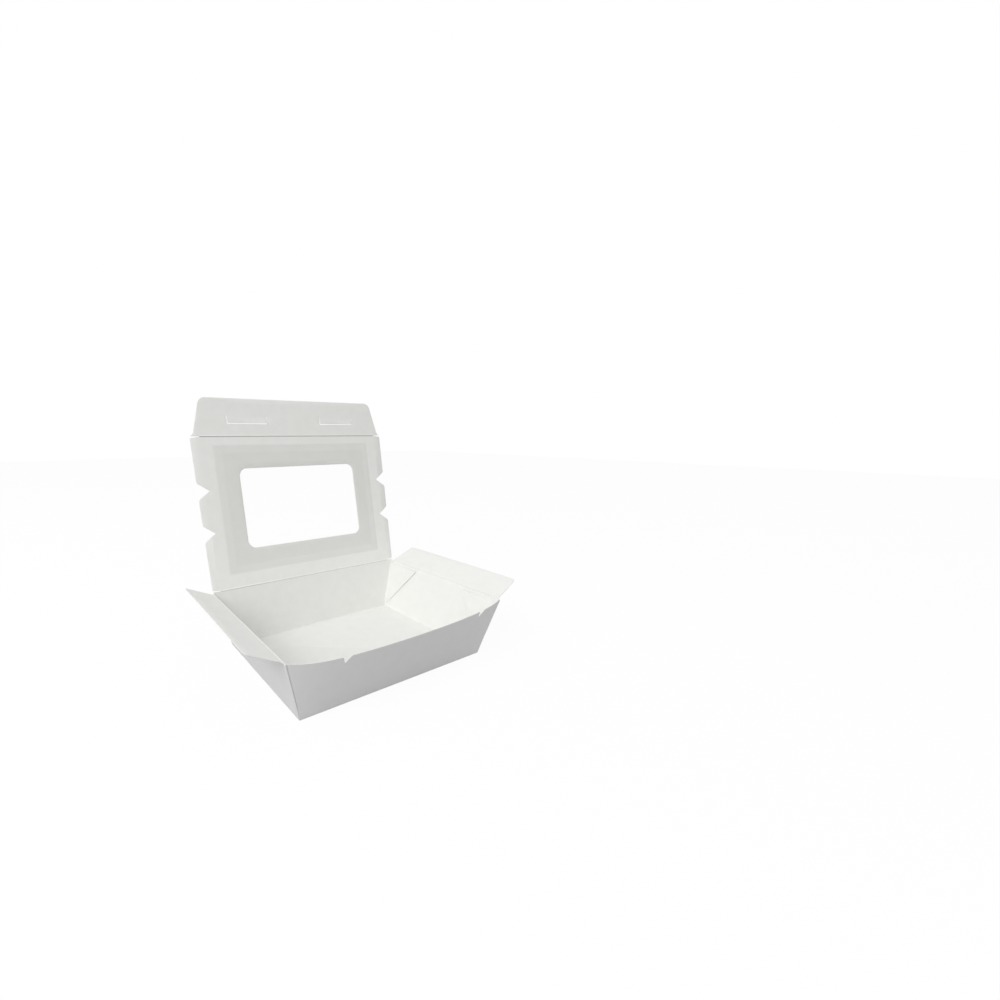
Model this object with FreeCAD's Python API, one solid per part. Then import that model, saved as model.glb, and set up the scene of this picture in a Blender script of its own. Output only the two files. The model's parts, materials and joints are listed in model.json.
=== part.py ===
import FreeCAD, Part
import math
import os

from FreeCAD import Vector

# Takeout food box of folded paperboard, open, in millimetres.
# X runs along the lid crease, Y from front to back, Z up from the table.
# The origin is the middle of the underside of the base.

# Board and film
board = 0.45
film_thickness = 0.10

# Tray, measured on its outer faces
rim_length = 197.0
rim_depth = 131.0
base_length = 170.4
base_depth = 118.0
hinge_height = 48.5
rim_drop = 1.3

# Front wall, which bellies out between its corners
front_bow = 8.0
front_dip = 2.0
front_fullness = 0.61

# Folded corner webs on the insides of the end walls
web_layers = 2
web_reach = 36.5
web_drop = 3.0

# Lock: two slits in the tuck flap and two notches in the front wall
lock_inner = 26.5
lock_outer = 65.0
lock_clearance = 1.0
notch_width = 7.0
notch_depth = 4.5
nose_radius = 3.0
slit_width = 0.6
slit_offset = 11.6
slit_leg = 6.6
slit_corner = 1.5

# End flaps
end_flap_depth = 25.5
end_flap_root_inset = 1.9
end_flap_tip_inset = 5.5
end_flap_corner = 4.0
end_flap_lift = 25.0

# Lid
lid_length = 129.4
lid_edge_gap = 0.3
lid_lean = 14.0

# Side tabs along both edges of the lid, parted by two notches a side
tab_width = 7.0
tab_corner = 2.0
tab_end_root_gap = 0.6
tab_end_tip_gap = 2.2
vee_places = (48.6, 84.2)
vee_mouth = 14.0
vee_depth = 9.9

# Window and its film
window_length = 120.0
window_height = 69.4
window_start = 32.2
window_corner = 7.0
film_overlap_side = 21.0
film_overlap_ends = 20.7

# Tuck flap
tuck_length = 31.8
tuck_root_gap = 1.5
tuck_taper = 9.3
tuck_corner = 6.0
tuck_tilt = 2.0

# Creases: how far a flap starts from the axis that it folds on, and the bead that the board folds over
crease_gap = 0.6
end_crease_gap = 1.15
bead_radius = 0.27

# A cutter is this high, so that it goes right through the board
through = 4 * board

slope_x = (rim_length - base_length) / 2 / hinge_height
slope_y = (rim_depth - base_depth) / 2 / hinge_height
skin_x = board * math.hypot(1, slope_x)
skin_y = board * math.hypot(1, slope_y)
rim_height = hinge_height - rim_drop


def half_length(z):
    """Half the tray's outer length at height z."""
    return base_length / 2 + slope_x * z


def half_depth(z):
    """Half the tray's outer depth at height z, without the front wall's belly."""
    return base_depth / 2 + slope_y * z


def rounded_wire(points, radii):
    """Closed wire in the XY plane through points, each corner rounded by its radius."""
    corners = [Vector(x, y, 0) for x, y in points]
    edges = []
    last_end = None
    first_start = None
    for number, corner in enumerate(corners):
        before = (corners[number - 1] - corner).normalize()
        after = (corners[(number + 1) % len(corners)] - corner).normalize()
        radius = radii[number]
        start = end = corner
        if radius > 0:
            half_angle = before.getAngle(after) / 2
            reach = radius / math.tan(half_angle)
            start = corner + before * reach
            end = corner + after * reach
            centre = corner + (before + after).normalize() * (radius / math.sin(half_angle))
            middle = centre + (corner - centre).normalize() * radius
        if last_end is not None:
            edges.append(Part.LineSegment(last_end, start).toShape())
        else:
            first_start = start
        if radius > 0:
            edges.append(Part.Arc(start, middle, end).toShape())
        last_end = end
    edges.append(Part.LineSegment(last_end, first_start).toShape())
    return Part.Wire(edges)


def plate(points, radii, thickness=board, low=None):
    """Flat sheet with a rounded outline; it is centred on its own plane unless low is given."""
    face = Part.Face(rounded_wire(points, radii))
    face.translate(Vector(0, 0, -thickness / 2 if low is None else low))
    return face.extrude(Vector(0, 0, thickness))


def rectangle(x_low, x_high, y_low, y_high):
    """Corner points of a rectangle, anticlockwise."""
    return [(x_low, y_low), (x_high, y_low), (x_high, y_high), (x_low, y_high)]


def placed(shape, origin, along, away):
    """Move a sheet so that its X runs along the crease and its Y away from it."""
    moved = shape.copy()
    rotation = FreeCAD.Rotation(along, away, along.cross(away), "XYZ")
    moved.Placement = FreeCAD.Placement(origin, rotation)
    return moved


def turned(direction, degrees):
    """A direction in the YZ plane, turned about X."""
    return FreeCAD.Rotation(Vector(1, 0, 0), degrees).multVec(direction)


def front_edge(z, start, inset_x, inset_y):
    """The front wall's edge curve at height z; the belly grows from nothing at start."""
    share = (z - start) / (rim_height - start)
    # A cubic curve's middle lies three quarters of the way out to its two inner poles.
    middle_share = 0.75
    out = share * front_bow / middle_share
    dip = share * front_dip / middle_share
    reach = half_length(z) - inset_x
    y = -(half_depth(z) - inset_y)
    handle = reach * front_fullness
    curve = Part.BezierCurve()
    curve.setPoles([Vector(-reach, y, z), Vector(-handle, y - out, z - dip),
                    Vector(handle, y - out, z - dip), Vector(reach, y, z)])
    return curve


def tray_block(z_low, z_high, start, inset_x, inset_y):
    """Solid between two heights, bounded by the four walls moved in by the insets."""
    fronts = []
    backs = []
    for z in (z_low, z_high):
        fronts.append(front_edge(z, start, inset_x, inset_y).toShape())
        x = half_length(z) - inset_x
        y = half_depth(z) - inset_y
        backs.append(Part.LineSegment(Vector(-x, y, z), Vector(x, y, z)).toShape())
    faces = [Part.makeRuledSurface(fronts[0], fronts[1]), Part.makeRuledSurface(backs[0], backs[1])]
    for side in (0, 1):
        corners = []
        for front, back in zip(fronts, backs):
            corners.append((front.Vertexes[side].Point, back.Vertexes[side].Point))
        (front_low, back_low), (front_high, back_high) = corners
        loop = [front_low, back_low, back_high, front_high, front_low]
        faces.append(Part.Face(Part.makePolygon(loop)))
    floor = Part.Wire([fronts[0]] + tray_floor_edges(fronts[0], backs[0]))
    faces.append(Part.Face(floor))
    faces.append(Part.makeRuledSurface(fronts[1], backs[1]))
    shell = Part.makeShell(faces)
    shell.sewShape()
    solid = Part.Solid(shell)
    if solid.Volume < 0:
        solid.reverse()
    return solid


def tray_floor_edges(front, back):
    """The three straight edges that close a floor outline behind its front edge."""
    left_front, right_front = front.Vertexes[0].Point, front.Vertexes[-1].Point
    left_back, right_back = back.Vertexes[0].Point, back.Vertexes[-1].Point
    loop = [right_front, right_back, left_back, left_front]
    return [Part.LineSegment(a, b).toShape() for a, b in zip(loop, loop[1:])]


def crease_bead(start, end):
    """The rounded edge that a wall ends in, along a crease."""
    line = end - start
    return Part.makeCylinder(bead_radius, line.Length, start, line)


def end_axis(side):
    """A point on the crease between an end wall and its flap; side is 1 or -1."""
    return Vector(side * (half_length(rim_height) - skin_x / 2), 0, rim_height)


def lid_axis():
    """The middle of the crease between the back wall and the lid."""
    return Vector(0, half_depth(hinge_height) - skin_y / 2, hinge_height)


def lid_direction():
    """The direction in which the open lid stands away from its crease."""
    return turned(Vector(0, 0, 1), -lid_lean)


def corner_web(side, end):
    """A folded web, lying on the inside of an end wall; side and end are 1 or -1."""
    thickness = web_layers * board
    top = rim_height - web_drop
    floor = board / 2
    along_low = half_depth(floor) - skin_y / 2
    along_top = half_depth(top) - skin_y / 2
    points = []
    for z, y in ((floor, along_low), (top, along_top), (top, along_top - web_reach)):
        points.append(Vector(side * (half_length(z) - skin_x), end * y, z))
    outline = Part.makePolygon(points + points[:1])
    inward = Vector(-side, 0, slope_x).normalize()
    overlap = board / 2
    face = Part.Face(outline)
    face.translate(inward * -overlap)
    return face.extrude(inward * (thickness + overlap))


def back_hem():
    """The part of the back wall that stands above the other rims and carries the lid."""
    y_low = half_depth(rim_height)
    y_high = half_depth(hinge_height)
    reach = lid_half_width()
    section = [Vector(-reach, y_low, rim_height), Vector(-reach, y_high, hinge_height),
               Vector(-reach, y_high - skin_y, hinge_height), Vector(-reach, y_low - skin_y, rim_height)]
    sunk = Vector(0, -slope_y, -1) * board
    section[0] = section[0] + sunk
    section[3] = section[3] + sunk
    hem = Part.Face(Part.makePolygon(section + section[:1])).extrude(Vector(2 * reach, 0, 0))
    axis = lid_axis()
    return hem.fuse(crease_bead(axis - Vector(reach, 0, 0), axis + Vector(reach, 0, 0)))


def front_notch(side):
    """Cutter for one lock notch in the front wall: upright outside, slanted inside."""
    outer = lock_outer + lock_clearance
    inner = outer - notch_width
    edge = front_edge(rim_height, 0, 0, 0)
    near = Vector(outer, -half_depth(rim_height), rim_height)
    rim = edge.value(edge.parameter(near)).z
    above = rim_height + notch_depth
    run_out = inner - 2 * nose_radius
    points = [(outer, rim - notch_depth), (outer, above), (run_out, above), (run_out, rim), (inner, rim)]
    radii = [0, 0, 0, 0, nose_radius]
    face = Part.Face(rounded_wire([(side * x, z) for x, z in points], radii))
    face.rotate(Vector(0, 0, 0), Vector(1, 0, 0), 90)
    front = -half_depth(rim_height)
    face.translate(Vector(0, front + front_bow, 0))
    return face.extrude(Vector(0, -3 * front_bow, 0))


def make_tray():
    """Base, four sloping walls and four corner webs, folded from one sheet."""
    outer = tray_block(0, rim_height, 0, 0, 0)
    inner = tray_block(board, rim_height + through, board, skin_x, skin_y)
    tray = outer.cut(inner)
    additions = [back_hem()]
    for side in (-1, 1):
        axis = end_axis(side)
        run = Vector(0, half_depth(rim_height) - end_flap_root_inset, 0)
        additions.append(crease_bead(axis - run, axis + run))
        for end in (-1, 1):
            additions.append(corner_web(side, end))
    tray = tray.fuse(additions)
    for side in (-1, 1):
        tray = tray.cut(front_notch(side))
    return tray.removeSplitter()


def make_end_flap(side):
    """Flap on an end wall's rim, folded outwards."""
    root = half_depth(rim_height) - end_flap_root_inset
    tip = half_depth(rim_height) - end_flap_tip_inset
    points = [(-root, end_crease_gap), (root, end_crease_gap), (tip, end_flap_depth), (-tip, end_flap_depth)]
    sheet = plate(points, [0, 0, end_flap_corner, end_flap_corner])
    lift = math.radians(end_flap_lift)
    away = Vector(side * math.cos(lift), 0, math.sin(lift))
    return placed(sheet, end_axis(side), Vector(0, side, 0), away)


def lid_half_width():
    """Half the lid's width over its side tabs."""
    return rim_length / 2 - lid_edge_gap


def tab_crease():
    """Distance of a side tab's crease from the middle of the lid."""
    return lid_half_width() - tab_width


def vee_half(x):
    """Half the width of a side notch at distance x from the middle of the lid."""
    tip = lid_half_width() - vee_depth
    return vee_mouth / 2 * (x - tip) / vee_depth


def on_lid(sheet):
    """Place a sheet drawn on the lid's own plane, Y from the hinge crease."""
    return placed(sheet, lid_axis(), Vector(1, 0, 0), lid_direction())


def make_lid_panel():
    """Lid between its creases, with the window and the tips of the side notches."""
    crease = tab_crease()
    sheet = plate(rectangle(-crease, crease, crease_gap, lid_length), [0] * 4)
    front = crease_bead(Vector(-crease, lid_length, 0), Vector(crease, lid_length, 0))
    sheet = sheet.fuse(front)
    for side in (-1, 1):
        ends = [Vector(side * crease, y, 0) for y in (crease_gap, lid_length)]
        sheet = sheet.fuse(crease_bead(*ends))
    half_window = window_length / 2
    window = rectangle(-half_window, half_window, window_start, window_start + window_height)
    sheet = sheet.cut(plate(window, [window_corner] * 4, thickness=through))
    for side in (-1, 1):
        tip = lid_half_width() - vee_depth
        mouth = lid_half_width()
        for place in vee_places:
            vee = [(tip, place), (mouth, place - vee_mouth / 2), (mouth, place + vee_mouth / 2)]
            cutter = plate([(side * x, y) for x, y in vee], [0] * 3, thickness=through)
            sheet = sheet.cut(cutter)
    return on_lid(sheet.removeSplitter())


def make_window_film():
    """Clear film behind the window, glued to the inside of the lid."""
    half = window_length / 2 + film_overlap_side
    low = window_start - film_overlap_ends
    high = window_start + window_height + film_overlap_ends
    sheet = plate(rectangle(-half, half, low, high), [0] * 4, thickness=film_thickness, low=board / 2)
    return on_lid(sheet)


def make_side_tabs(side):
    """The three tabs on one edge of the lid, from the hinge forwards."""
    root = tab_crease() + crease_gap
    tip = lid_half_width()
    stations = [(0, tab_end_root_gap, tab_end_tip_gap)]
    for place in vee_places:
        stations.append((place, vee_half(root), vee_half(tip)))
    stations.append((lid_length, tab_end_root_gap, tab_end_tip_gap))
    tabs = []
    for (low, low_root, low_tip), (high, high_root, high_tip) in zip(stations, stations[1:]):
        points = [(root, low + low_root), (tip, low + low_tip), (tip, high - high_tip), (root, high - high_root)]
        sheet = plate([(side * x, y) for x, y in points], [0, tab_corner, tab_corner, 0])
        tabs.append(on_lid(sheet))
    return tabs


def lock_slit(side):
    """Cutter for one slit in the tuck flap, with both its ends turned away from the crease."""
    low = slit_offset
    high = slit_offset + slit_leg
    outer = plate(rectangle(lock_inner, lock_outer, low, high + slit_corner),
                  [slit_corner] * 2 + [0, 0], thickness=through)
    inside = rectangle(lock_inner + slit_width, lock_outer - slit_width, low + slit_width, high + 2 * slit_corner)
    inner_corner = slit_corner - slit_width
    slit = outer.cut(plate(inside, [inner_corner] * 2 + [0, 0], thickness=through + board))
    ends = plate(rectangle(0, rim_length, high, high + 3 * slit_corner), [0] * 4, thickness=through + board)
    slit = slit.cut(ends)
    if side < 0:
        slit = slit.mirror(Vector(0, 0, 0), Vector(1, 0, 0))
    return slit


def make_tuck_flap():
    """Flap on the lid's free edge that tucks in behind the front wall."""
    root = lid_half_width() - tuck_root_gap
    tip = root - tuck_taper
    points = [(-root, crease_gap), (root, crease_gap), (tip, tuck_length), (-tip, tuck_length)]
    sheet = plate(points, [0, 0, tuck_corner, tuck_corner])
    for side in (-1, 1):
        sheet = sheet.cut(lock_slit(side))
    origin = lid_axis() + lid_direction() * lid_length
    return placed(sheet, origin, Vector(1, 0, 0), turned(lid_direction(), tuck_tilt))


def save(name, shape):
    """Write one part as STEP and report its size."""
    shape.exportStep(os.path.join("parts", name + ".step"))
    print(name, "solids", len(shape.Solids), "valid", shape.isValid(), "volume", round(shape.Volume, 1))


def main():
    """Make every part of the box."""
    os.makedirs("parts", exist_ok=True)
    save("tray", make_tray())
    save("lid_panel", make_lid_panel())
    save("window_film", make_window_film())
    save("tuck_flap", make_tuck_flap())
    for word, side in (("left", -1), ("right", 1)):
        save(word + "_end_flap", make_end_flap(side))
        for place, tab in zip(("rear", "middle", "front"), make_side_tabs(side)):
            save(word + "_" + place + "_side_tab", tab)


main()
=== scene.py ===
"""Dresses the takeout food box: folded paperboard, creases, a window film and a pale studio."""

from __future__ import annotations

import json
import logging
import math
from dataclasses import dataclass, field
from enum import Enum
from functools import partial
from typing import Callable, Sequence

import bmesh
import bpy
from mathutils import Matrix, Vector

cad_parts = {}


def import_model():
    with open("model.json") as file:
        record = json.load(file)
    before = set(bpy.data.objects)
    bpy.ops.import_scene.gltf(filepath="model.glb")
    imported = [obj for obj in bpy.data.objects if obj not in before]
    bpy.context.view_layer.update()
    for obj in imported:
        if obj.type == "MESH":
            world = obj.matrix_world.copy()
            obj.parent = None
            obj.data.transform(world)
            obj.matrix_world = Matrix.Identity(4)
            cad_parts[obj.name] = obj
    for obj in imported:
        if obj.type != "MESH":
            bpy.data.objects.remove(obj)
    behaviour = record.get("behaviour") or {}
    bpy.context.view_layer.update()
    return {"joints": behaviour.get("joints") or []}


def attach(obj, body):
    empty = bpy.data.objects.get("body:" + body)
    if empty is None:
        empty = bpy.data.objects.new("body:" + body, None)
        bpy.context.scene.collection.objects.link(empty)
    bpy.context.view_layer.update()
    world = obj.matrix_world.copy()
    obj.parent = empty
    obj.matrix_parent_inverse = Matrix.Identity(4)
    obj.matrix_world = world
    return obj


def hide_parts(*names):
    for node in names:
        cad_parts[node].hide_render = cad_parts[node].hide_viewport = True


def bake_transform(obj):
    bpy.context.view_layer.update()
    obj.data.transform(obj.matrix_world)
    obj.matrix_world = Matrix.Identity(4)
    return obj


LOG = logging.getLogger("takeout_box")
MILLIMETRE = 0.001
BOARD = 0.45 * MILLIMETRE
HAIR = 0.01 * MILLIMETRE
MERGE_DISTANCE = 0.001 * MILLIMETRE
ACROSS = Vector((1, 0, 0))
WHITE = (1.0, 1.0, 1.0, 1.0)

Point = tuple[float, float]
Place = tuple[float, float, float]
Colour = tuple[float, float, float]
Verts = list[bmesh.types.BMVert]


class Side(Enum):
    """The two ends of the box, seen from the front."""

    LEFT = -1
    RIGHT = 1

    @property
    def word(self) -> str:
        """The side's name as the nodes spell it."""
        return self.name.lower()


class Skin(Enum):
    """Which surface of the board a face belongs to; the value is its material slot."""

    INSIDE = 0
    OUTSIDE = 1
    CUT = 2
    # Faces in a crease's band of painted shade: a darker colour in place of the shadow in the crease's groove.
    SCORE = 3


class Socket:
    """One output of a shader node, with the arithmetic that adds Math nodes."""

    def __init__(self, shader: Shader, output: bpy.types.NodeSocket) -> None:
        """Wrap an output of a node that belongs to the shader."""
        self.shader = shader
        self.output = output

    def __add__(self, other: Socket | float) -> Socket:
        """This plus other."""
        return self.shader.math("ADD", self, other)

    __radd__ = __add__

    def __sub__(self, other: Socket | float) -> Socket:
        """This minus other."""
        return self.shader.math("SUBTRACT", self, other)

    def __rsub__(self, other: float) -> Socket:
        """Other minus this."""
        return self.shader.math("SUBTRACT", other, self)

    def __mul__(self, other: Socket | float) -> Socket:
        """This times other."""
        return self.shader.math("MULTIPLY", self, other)

    __rmul__ = __mul__

    def __truediv__(self, other: Socket | float) -> Socket:
        """This divided by other."""
        return self.shader.math("DIVIDE", self, other)

    def __abs__(self) -> Socket:
        """The size of this without its sign."""
        return self.shader.math("ABSOLUTE", self)

    def highest(self, other: Socket | float) -> Socket:
        """The greater of this and other."""
        return self.shader.math("MAXIMUM", self, other)

    def lowest(self, other: Socket | float) -> Socket:
        """The lesser of this and other."""
        return self.shader.math("MINIMUM", self, other)

    def clamped(self) -> Socket:
        """This, kept between 0 and 1."""
        return self.highest(0.0).lowest(1.0)


class Shader:
    """The node tree of one material or of the world."""

    def __init__(self, owner: bpy.types.Material | bpy.types.World) -> None:
        """Empty the owner's node tree.

        Args:
            owner: The material or world.
        """
        self.owner = owner
        owner.use_nodes = True
        self.tree = owner.node_tree
        self.tree.nodes.clear()

    @classmethod
    def named(cls, name: str) -> Shader:
        """Start a new material of that name."""
        return cls(bpy.data.materials.new(name))

    def add(self, kind: str, settings: dict[str, object],
            values: dict[int | str, object]) -> bpy.types.Node:
        """Add a node.

        Args:
            kind: The node's type.
            settings: The node's own properties, set before its sockets.
            values: A number, colour or Socket for each input that is set.

        Returns:
            The new node.
        """
        node = self.tree.nodes.new(kind)
        for key, value in settings.items():
            setattr(node, key, value)
        for key, value in values.items():
            if isinstance(value, Socket):
                self.tree.links.new(value.output, node.inputs[key])
            else:
                node.inputs[key].default_value = value
        return node

    def value(self, kind: str, settings: dict[str, object], values: dict[int | str, object],
              output: int | str = 0) -> Socket:
        """Add a node, as add does, and wrap one of its outputs."""
        return Socket(self, self.add(kind, settings, values).outputs[output])

    def math(self, operation: str, *values: Socket | float) -> Socket:
        """One step of arithmetic on numbers."""
        return self.value("ShaderNodeMath", {"operation": operation}, dict(enumerate(values)))

    def mix(self, share: Socket, low: Colour, high: Colour) -> Socket:
        """The colour between low and high at a share; a Mix node's colour sockets go by number."""
        values = {0: share, 6: (*low, 1.0), 7: (*high, 1.0)}
        return self.value("ShaderNodeMix", {"data_type": "RGBA"}, values, 2)

    def layered(self, share: Socket, under: Socket, over: Socket) -> Socket:
        """One surface over another, of which the upper one shows at a share."""
        return self.value("ShaderNodeMixShader", {}, {0: share, 1: under, 2: over})

    def bumped(self, strength: float, distance: float, height: Socket) -> Socket:
        """The normal of a surface whose relief follows a height."""
        values = {"Strength": strength, "Distance": distance, "Height": height}
        return self.value("ShaderNodeBump", {}, values)

    def seen_rays(self) -> tuple[Socket, Socket]:
        """Tell the rays that look at a thing from those that light it.

        Returns:
            Which rays are the camera's, and which are its, of gloss or of transmission.
        """
        rays = self.add("ShaderNodeLightPath", {}, {})
        kinds = ("Is Camera Ray", "Is Glossy Ray", "Is Transmission Ray")
        camera, gloss, through = (Socket(self, rays.outputs[kind]) for kind in kinds)
        return camera, (camera + gloss + through).clamped()

    def place(self) -> Socket:
        """Where a point lies in the box's own frame, in metres."""
        return self.value("ShaderNodeTexCoord", {}, {}, "Object")

    def noise(self, place: Socket, grain: float, detail: float) -> Socket:
        """Soft random values from 0 to 1, with grains about this many metres across."""
        values = {"Vector": place, "Scale": 1.0 / grain, "Detail": detail}
        return self.value("ShaderNodeTexNoise", {}, values, "Fac")

    def finish(self, surface: Socket) -> bpy.types.Material:
        """Lead a surface shader to the output and give the material."""
        self.add("ShaderNodeOutputMaterial", {}, {"Surface": surface})
        return self.owner


@dataclass(frozen=True)
class Grain:
    """A scale of the board's texture: its size, its detail, and how it shows in tone and relief."""

    size: float
    detail: float
    tone: float
    relief: float = 0.0


@dataclass(frozen=True)
class BoardFinish:
    """One face of the paperboard: its colour, and how coarse its fibres stand."""

    name: str
    pale: Colour
    dull: Colour
    roughness: float
    relief: float
    fibre: Grain = Grain(0.35 * MILLIMETRE, 4.0, 0.1, 0.6)
    felt: Grain = Grain(1.4 * MILLIMETRE, 2.0, 0.2, 0.4)
    cloud: Grain = Grain(9.0 * MILLIMETRE, 3.0, 0.7)
    dullest: float = 0.3
    contrast: float = 2.2
    relief_height: float = 0.05 * MILLIMETRE
    rough_range: float = 0.1
    specular: float = 0.3

    def material(self) -> bpy.types.Material:
        """Build the material.

        Returns:
            Matte board whose tone drifts a little and whose fibres catch the light.
        """
        shader = Shader.named(self.name)
        place = shader.place()
        fibres, felt, clouds = (shader.noise(place, grain.size, grain.detail)
                                for grain in (self.fibre, self.felt, self.cloud))
        tone = clouds * self.cloud.tone + felt * self.felt.tone + fibres * self.fibre.tone
        height = fibres * self.fibre.relief + felt * self.felt.relief
        surface = shader.value("ShaderNodeBsdfPrincipled", {}, {
            "Base Color": shader.mix(((tone - self.dullest) * self.contrast).clamped(), self.dull, self.pale),
            "Roughness": fibres * self.rough_range + (self.roughness - self.rough_range / 2),
            "Specular IOR Level": self.specular,
            "Normal": shader.bumped(self.relief, self.relief_height, height),
        })
        return shader.finish(surface)


@dataclass(frozen=True)
class FilmFinish:
    """Clear film: almost unseen in the window, a little grey where it is glued to the board."""

    plane: Plane
    middle: float
    half_size: Point
    half_window: Point
    corner: float
    window_blur: float = 0.3 * MILLIMETRE
    glue_margin: float = 6.5 * MILLIMETRE
    glue_blur: float = 1.6 * MILLIMETRE
    edge_blur: float = 1.4 * MILLIMETRE
    cloud: float = 14.0 * MILLIMETRE
    cloud_detail: float = 2.0
    cloud_veil: float = 0.016
    glue_veil: float = 0.014
    margin_veil: float = 0.026
    window_veil: float = 0.006
    clear: Colour = (0.90, 0.92, 0.92)
    glued: Colour = (0.42, 0.425, 0.40)
    roughness: float = 0.06
    ripple: float = 0.25
    ripple_height: float = 0.4 * MILLIMETRE

    def material(self) -> bpy.types.Material:
        """Build the material.

        Returns:
            Glossy film with a glue margin round the window.
        """
        shader = Shader.named("clear_film")
        place = shader.place()
        split = shader.add("ShaderNodeSeparateXYZ", {}, {"Vector": place})
        x, y, z = (Socket(shader, split.outputs[axis]) for axis in "XYZ")
        origin, away = self.plane.origin, self.plane.away
        up = (y - origin.y) * away.y + (z - origin.z) * away.z
        sideways, upwards = abs(x), abs(up - self.middle)
        over_x = (sideways - (self.half_window[0] - self.corner)).highest(0.0)
        over_y = (upwards - (self.half_window[1] - self.corner)).highest(0.0)
        reach = shader.math("SQRT", over_x * over_x + over_y * over_y)
        margin = ((reach - self.corner) / self.window_blur).clamped()
        clouds = shader.noise(place, self.cloud, self.cloud_detail)
        edge = (self.half_size[0] - sideways).lowest(self.half_size[1] - upwards)
        glue = ((edge - self.glue_margin) / self.glue_blur).clamped()
        fade = (edge / self.edge_blur).clamped()
        veil = clouds * self.cloud_veil + glue * self.glue_veil + self.margin_veil
        surface = shader.value("ShaderNodeBsdfPrincipled", {}, {
            "Base Color": shader.mix(margin, self.clear, self.glued),
            "Roughness": self.roughness,
            "Alpha": margin * fade * veil + self.window_veil,
            "Normal": shader.bumped(self.ripple, self.ripple_height, clouds),
        })
        return shader.finish(surface)


@dataclass(frozen=True)
class FloorFinish:
    """Pale studio floor: white to the camera and in gloss, but with the object's soft shadow."""

    bounce: Colour = (0.42, 0.42, 0.42)
    seen: Colour = (1.0, 1.0, 1.0)
    glow: float = 0.93

    def material(self) -> bpy.types.Material:
        """Build the material.

        Returns:
            A diffuse floor that is lit up for the camera and for gloss.
        """
        shader = Shader.named("studio_floor")
        camera, seen = shader.seen_rays()
        colour = shader.mix(camera, self.bounce, self.seen)
        matte = shader.value("ShaderNodeBsdfDiffuse", {}, {"Color": colour})
        white = shader.value("ShaderNodeEmission", {}, {"Color": WHITE, "Strength": 1.0})
        return shader.finish(shader.layered(seen * self.glow, matte, white))


@dataclass
class Finishes:
    """The finishes of the board, shared by every piece that is cut from it."""

    inside: BoardFinish = BoardFinish(
        "board_inside", pale=(0.875, 0.878, 0.855), dull=(0.835, 0.838, 0.812), roughness=0.82, relief=0.35)
    outside: BoardFinish = BoardFinish(
        "board_outside", pale=(0.865, 0.868, 0.862), dull=(0.835, 0.838, 0.832), roughness=0.58, relief=0.16)
    cut: BoardFinish = BoardFinish(
        "board_cut_edge", pale=(0.89, 0.885, 0.86), dull=(0.78, 0.775, 0.745), roughness=0.92, relief=0.7)
    # Painted shade: a darker board colour on a band of a crease's strip, standing in for the shadow in the
    # crease's groove.
    score: BoardFinish = BoardFinish(
        "board_score", pale=(0.56, 0.56, 0.545), dull=(0.52, 0.52, 0.505), roughness=0.88, relief=0.35)
    made: dict[str, bpy.types.Material] = field(default_factory=dict)

    def dress(self, piece: bpy.types.Object) -> None:
        """Give a piece the finishes of the board, in the order of Skin.

        Args:
            piece: The piece, whose faces already carry their material slots.
        """
        for finish in (self.inside, self.outside, self.cut, self.score):
            if finish.name not in self.made:
                self.made[finish.name] = finish.material()
            piece.data.materials.append(self.made[finish.name])


@dataclass
class Plane:
    """A flat frame in space: x runs along a crease, y away from it and z to one side."""

    origin: Vector
    along: Vector
    away: Vector

    def point(self, x: float, y: float, z: float = 0.0) -> Vector:
        """A point given in the plane's own directions."""
        return self.origin + self.along * x + self.away * y + self.along.cross(self.away) * z


def between(start: float, end: float, share: float) -> float:
    """The number at a share of the way from start to end."""
    return start + (end - start) * share


def smooth(share: float) -> float:
    """Ease a share, kept between 0 and 1, in and out."""
    share = min(max(share, 0.0), 1.0)
    return share * share * (3 - 2 * share)


def turn_angles(total: float, steps: int) -> list[float]:
    """The angles of a turn in equal steps, from 0 to its total."""
    return [total * step / steps for step in range(steps + 1)]


def grid(cells: int) -> list[float]:
    """Even shares from -1 to 1, with this many cells on each side of the middle."""
    return [number / cells - 1 for number in range(2 * cells + 1)]


def rounded(points: Sequence[Point], radii: Sequence[float], steps: int) -> list[Point]:
    """Round the corners of an outline.

    Args:
        points: The corners in order.
        radii: Each corner's radius; 0 keeps it sharp.
        steps: How many segments a round corner has.

    Returns:
        The outline's points in the same order.
    """
    outline: list[Point] = []
    for number, (point, radius) in enumerate(zip(points, radii)):
        if radius <= 0:
            outline.append(point)
            continue
        corner = Vector(point)
        before = (Vector(points[number - 1]) - corner).normalized()
        after = (Vector(points[(number + 1) % len(points)]) - corner).normalized()
        half_angle = before.angle(after) / 2
        centre = corner + (before + after).normalized() * (radius / math.sin(half_angle))
        start = corner + before * (radius / math.tan(half_angle)) - centre
        end = corner + after * (radius / math.tan(half_angle)) - centre
        for angle in turn_angles(-start.angle_signed(end), steps):
            cosine, sine = math.cos(angle), math.sin(angle)
            spoke = Vector((start.x * cosine - start.y * sine, start.x * sine + start.y * cosine))
            outline.append(tuple(centre + spoke))
    return outline


def box_outline(half: float, low: float, high: float, radius: float, steps: int) -> list[Point]:
    """A rectangle across the middle with rounded corners.

    Args:
        half: Half its width.
        low: Where it begins, away from the root.
        high: Where it ends.
        radius: The radius of its corners.
        steps: How many segments a corner has.

    Returns:
        The outline's points.
    """
    return rounded([(-half, low), (half, low), (half, high), (-half, high)], [radius] * 4, steps)


def linked(bm: bmesh.types.BMesh, name: str) -> bpy.types.Object:
    """Turn a mesh into an object of the scene.

    Args:
        bm: The mesh being built, which is freed.
        name: The new object's name.

    Returns:
        The object.
    """
    mesh = bpy.data.meshes.new(name)
    bm.to_mesh(mesh)
    bm.free()
    piece = bpy.data.objects.new(name, mesh)
    bpy.context.scene.collection.objects.link(piece)
    return piece


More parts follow.
